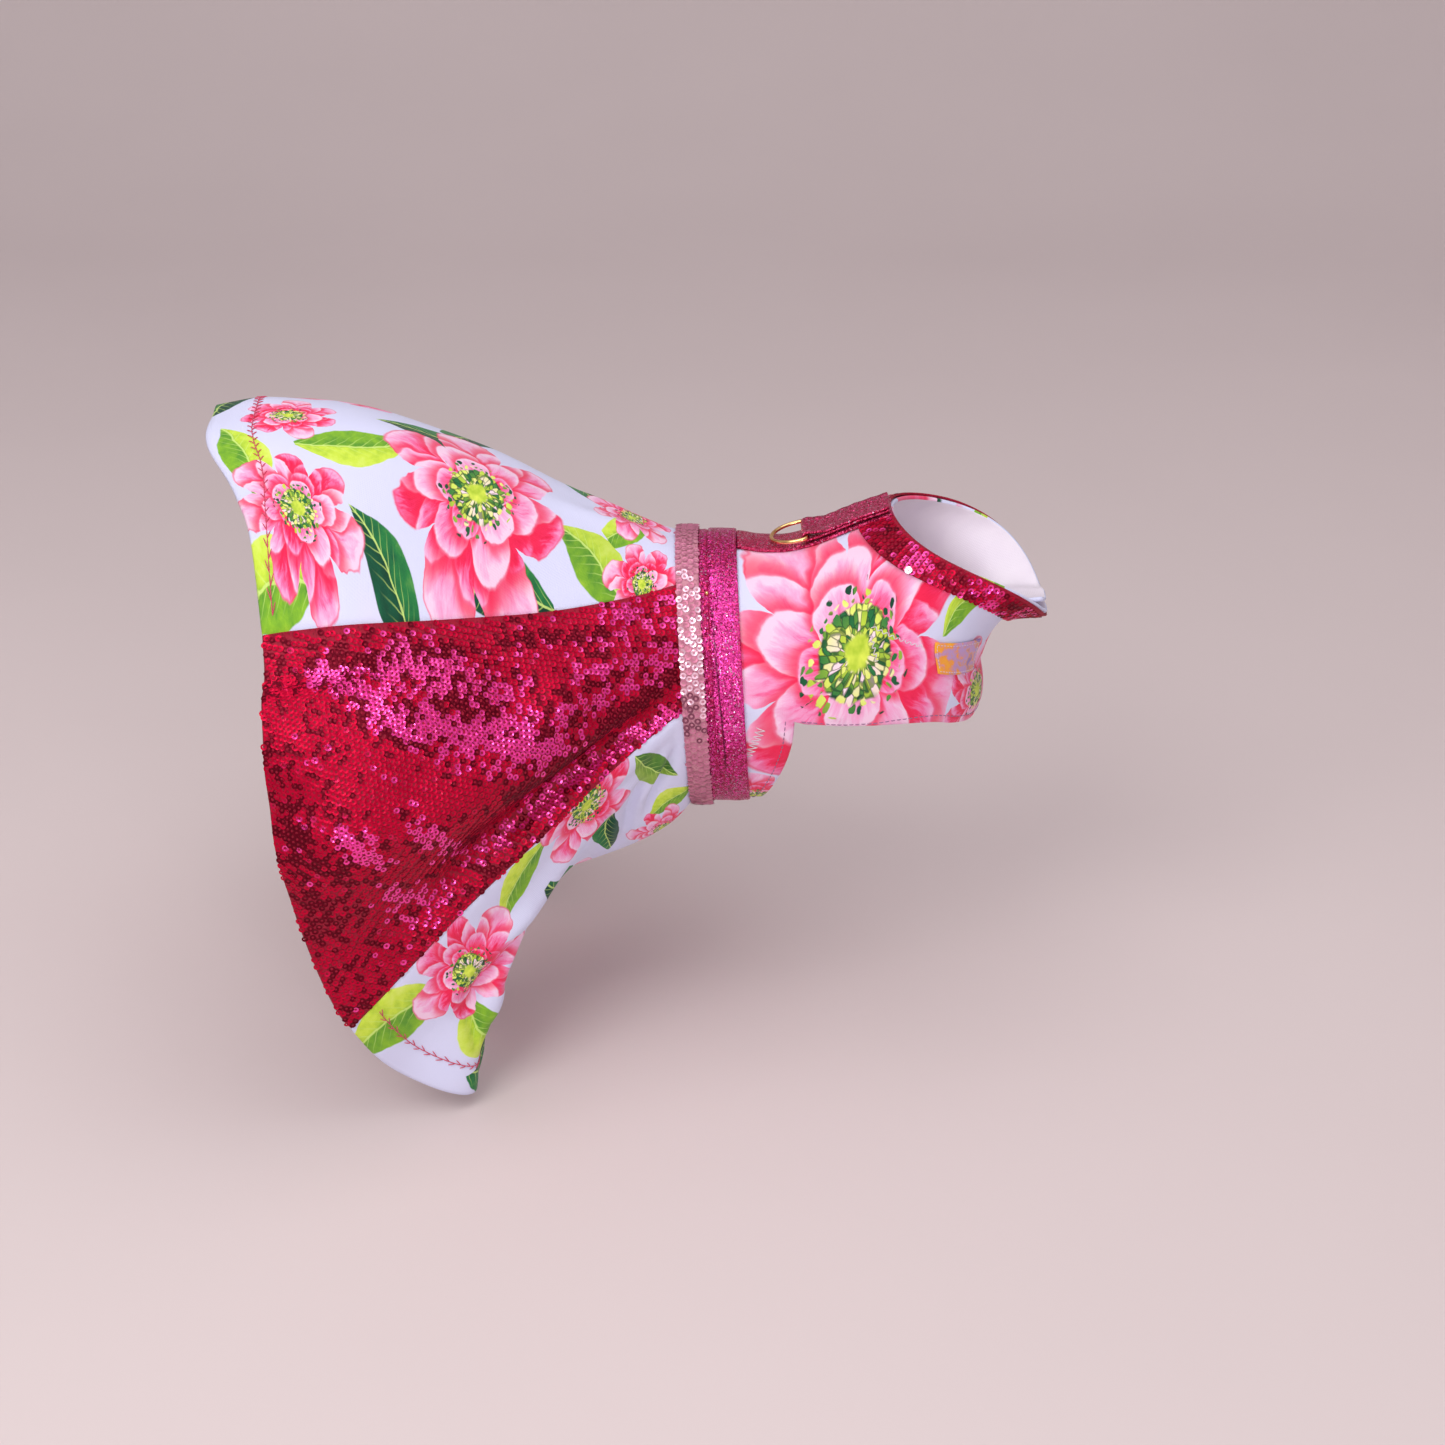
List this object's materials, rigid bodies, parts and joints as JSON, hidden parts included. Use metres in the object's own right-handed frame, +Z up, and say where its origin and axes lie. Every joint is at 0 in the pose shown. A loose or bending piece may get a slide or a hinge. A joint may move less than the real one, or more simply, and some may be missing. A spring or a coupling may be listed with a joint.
{
  "type": "dog dress",
  "caption": "Small dog's party dress: print bodice with sequin collar and belly strap, ribbon waistband with a hinged leash ring, flared skirt of print and sequin panels.",
  "frame": {"origin": "the point on the spine, on the inner face of the bodice inside the waistband, where the dress sits on the dog's back", "axes": "+X forward towards the dog's neck, +Y to the wearer's left, +Z up"},
  "size_m": [0.3639, 0.274, 0.2853],
  "materials": {
    "print_cotton": "matt printed cotton",
    "sequin_mesh": "cloth covered in shiny round sequins",
    "glitter_ribbon": "glittering ribbon",
    "pink_sequin_trim": "braid of pale pink sequins",
    "gold_metal": "polished",
    "woven_label": "satin weave, no text",
    "hook_tape": "hook and loop"
  },
  "bodies": {
    "dress": {"bodice": "print_cotton", "collar_right": "sequin_mesh", "collar_left": "sequin_mesh", "spine_ribbon": "glitter_ribbon", "ring_strap": "glitter_ribbon", "waist_ribbon": "glitter_ribbon", "waist_trim": "pink_sequin_trim", "skirt_top": "print_cotton", "skirt_sequin_right": "sequin_mesh", "skirt_sequin_left": "sequin_mesh", "skirt_lower_right": "print_cotton", "skirt_lower_left": "print_cotton", "label": "woven_label", "chest_fastener": "hook_tape", "belly_fastener": "hook_tape"},
    "ring": {"leash_ring": "gold_metal"}
  },
  "joints": [
    {"name": "ring_hinge", "type": "hinge", "parent": "dress", "child": "ring", "pos_m": [0.04145, 0, 0.00681], "axis": [0, 1, 0], "range_deg": [0, 120]}
  ]
}
